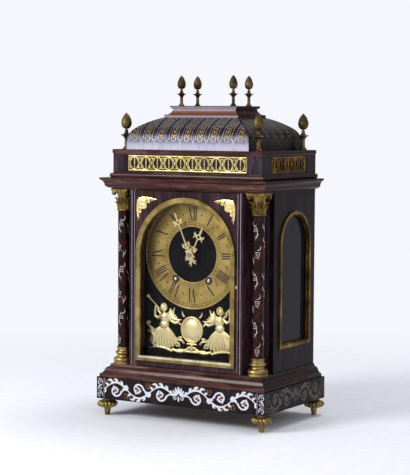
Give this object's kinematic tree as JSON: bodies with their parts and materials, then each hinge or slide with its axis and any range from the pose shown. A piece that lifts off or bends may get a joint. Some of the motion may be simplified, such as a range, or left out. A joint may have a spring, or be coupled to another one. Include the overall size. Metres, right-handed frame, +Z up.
{
  "type": "bracket clock",
  "caption": "Domed wooden bracket clock with inlaid plinth, corner columns, pierced gallery, finials, arched glazed door, dial with hands and a spring-driven striking movement.",
  "frame": {"origin": "on the table, under the middle of the plinth", "axes": "+Z up, -Y towards the viewer of the dial, +X to the viewer's right"},
  "size_m": [0.3088, 0.2048, 0.5318],
  "materials": {
    "ebony_shell": "polished dark veneer with pewter and shell inlay",
    "rosewood": "satin purple-brown veneer",
    "rosewood_moulding": "polished streaky red-brown moulding",
    "oak": "waxed carcase wood",
    "column_shell": "polished dark shell veneer with pewter tendrils",
    "gilt_brass": "bright gilt",
    "old_bronze": "dark antique",
    "velvet": "thin board covered in black velvet",
    "window_glass": "clear",
    "movement_brass": "grained and lacquered",
    "steel": "polished",
    "bell_metal": "turned"
  },
  "bodies": {
    "case": {"feet": "old_bronze", "plinth": "ebony_shell", "base_moulding": "rosewood_moulding", "base_board": "oak", "side_panels": "ebony_shell", "side_window_frames": "gilt_brass", "side_glasses": "window_glass", "corner_posts": "rosewood", "top_board": "oak", "cornice": "rosewood_moulding", "gallery_base": "rosewood_moulding", "gallery_walls": "ebony_shell", "gallery_frets": "gilt_brass", "gallery_lid": "rosewood_moulding", "dome": "ebony_shell", "platform": "rosewood_moulding", "corner_finials": "old_bronze", "top_finials": "old_bronze", "column_bases": "gilt_brass", "column_shafts": "column_shell", "capitals": "gilt_brass", "back_stiles": "oak", "dial_plate": "velvet", "chapter_ring": "old_bronze", "dial_mount": "gilt_brass", "movement_plates": "movement_brass", "movement_pillars": "movement_brass", "seat_board": "oak", "suspension_cock": "movement_brass", "bell": "bell_metal"},
    "front_door": {"door_frame": "rosewood", "door_glass": "window_glass", "door_moulding": "gilt_brass", "spandrels": "gilt_brass", "escutcheon": "gilt_brass", "door_pivots": "steel", "door_lock": "steel"},
    "lock_bolt": {"lock_bolt": "steel"},
    "back_door": {"back_door": "oak", "back_door_pivots": "steel"},
    "back_latch": {"back_latch": "movement_brass"},
    "minute_hand": {"cannon_pinion": "steel", "minute_hand": "gilt_brass", "hand_collet": "gilt_brass"},
    "centre_arbor": {"centre_wheel": "movement_brass"},
    "hour_pipe": {"hour_wheel": "movement_brass", "hour_hand": "gilt_brass"},
    "minute_wheel": {"minute_wheel": "movement_brass"},
    "middle_wheel": {"middle_wheel": "movement_brass"},
    "going_barrel": {"going_barrel": "movement_brass"},
    "third_wheel": {"third_wheel": "movement_brass"},
    "escape_wheel": {"escape_wheel": "movement_brass"},
    "pallets": {"pallets": "steel"},
    "pendulum": {"pendulum": "movement_brass"},
    "going_arbor": {"going_arbor": "steel"},
    "strike_arbor": {"strike_arbor": "steel"},
    "strike_barrel": {"strike_barrel": "movement_brass"},
    "pin_wheel": {"pin_wheel": "movement_brass"},
    "fly": {"fly": "movement_brass"},
    "hammer": {"hammer": "steel"}
  },
  "joints": [
    {"name": "front_door_hinge", "type": "hinge", "parent": "case", "child": "front_door", "pos_m": [-0.0911, -0.0783, 0.218], "axis": [0, 0, -1], "range_deg": [0, 93]},
    {"name": "lock_bolt_slide", "type": "slide", "parent": "front_door", "child": "lock_bolt", "axis": [1, 0, 0], "range_m": [0, 0.005]},
    {"name": "back_door_hinge", "type": "hinge", "parent": "case", "child": "back_door", "pos_m": [-0.1153, 0.0908, 0.218], "axis": [0, 0, 1], "range_deg": [0, 110]},
    {"name": "back_latch_turn", "type": "hinge", "parent": "back_door", "child": "back_latch", "pos_m": [0.1035, 0.089, 0.218], "axis": [0, 1, 0], "range_deg": [0, 90]},
    {"name": "minute_hand_turn", "type": "hinge", "parent": "case", "child": "minute_hand", "pos_m": [0, 0, 0.257], "axis": [0, 1, 0], "continuous": true},
    {"name": "hour_hand_turn", "type": "hinge", "parent": "case", "child": "hour_pipe", "pos_m": [0, 0, 0.257], "axis": [0, 1, 0], "continuous": true},
    {"name": "minute_wheel_turn", "type": "hinge", "parent": "case", "child": "minute_wheel", "pos_m": [0, 0, 0.241], "axis": [0, 1, 0], "continuous": true},
    {"name": "escape_wheel_turn", "type": "hinge", "parent": "case", "child": "escape_wheel", "pos_m": [0, 0, 0.287], "axis": [0, 1, 0], "continuous": true},
    {"name": "third_wheel_turn", "type": "hinge", "parent": "case", "child": "third_wheel", "pos_m": [-0.01313, 0, 0.27652], "axis": [0, 1, 0], "continuous": true},
    {"name": "centre_wheel_turn", "type": "hinge", "parent": "case", "child": "centre_arbor", "pos_m": [0, 0, 0.257], "axis": [0, 1, 0], "continuous": true},
    {"name": "middle_wheel_turn", "type": "hinge", "parent": "case", "child": "middle_wheel", "pos_m": [0.02296, 0, 0.25001], "axis": [0, 1, 0], "continuous": true},
    {"name": "going_barrel_turn", "type": "hinge", "parent": "case", "child": "going_barrel", "pos_m": [0.0295, 0, 0.218], "axis": [0, 1, 0], "continuous": true},
    {"name": "pendulum_swing", "type": "hinge", "parent": "case", "child": "pendulum", "pos_m": [0, 0, 0.304], "axis": [0, 1, 0], "range_deg": [-3, 3]},
    {"name": "pallets_rock", "type": "hinge", "parent": "case", "child": "pallets", "pos_m": [0, 0, 0.304], "axis": [0, 1, 0], "range_deg": [-3, 3]},
    {"name": "going_winding", "type": "hinge", "parent": "case", "child": "going_arbor", "pos_m": [0.0295, 0, 0.218], "axis": [0, 1, 0], "range_deg": [0, 1440]},
    {"name": "strike_winding", "type": "hinge", "parent": "case", "child": "strike_arbor", "pos_m": [-0.0295, 0, 0.218], "axis": [0, 1, 0], "range_deg": [0, 1440]},
    {"name": "fly_turn", "type": "hinge", "parent": "case", "child": "fly", "pos_m": [-0.03597, 0, 0.27252], "axis": [0, 1, 0], "continuous": true},
    {"name": "pin_wheel_turn", "type": "hinge", "parent": "case", "child": "pin_wheel", "pos_m": [-0.04014, 0, 0.24889], "axis": [0, 1, 0], "continuous": true},
    {"name": "strike_barrel_turn", "type": "hinge", "parent": "case", "child": "strike_barrel", "pos_m": [-0.0295, 0, 0.218], "axis": [0, 1, 0], "continuous": true},
    {"name": "hammer_lift", "type": "hinge", "parent": "case", "child": "hammer", "pos_m": [-0.052, 0, 0.288], "axis": [0, -1, 0], "range_deg": [0, 8]}
  ],
  "couplings": [
    {"joint": "hour_hand_turn", "follows": "minute_hand_turn", "ratio": 0.083333},
    {"joint": "minute_wheel_turn", "follows": "minute_hand_turn", "ratio": -0.33333},
    {"joint": "third_wheel_turn", "follows": "escape_wheel_turn", "ratio": -0.16667},
    {"joint": "centre_wheel_turn", "follows": "escape_wheel_turn", "ratio": 0.027778},
    {"joint": "middle_wheel_turn", "follows": "escape_wheel_turn", "ratio": -0.0055556},
    {"joint": "going_barrel_turn", "follows": "escape_wheel_turn", "ratio": 0.00092593},
    {"joint": "pallets_rock", "follows": "pendulum_swing", "ratio": 1},
    {"joint": "pin_wheel_turn", "follows": "fly_turn", "ratio": -0.2},
    {"joint": "strike_barrel_turn", "follows": "fly_turn", "ratio": 0.033333}
  ]
}
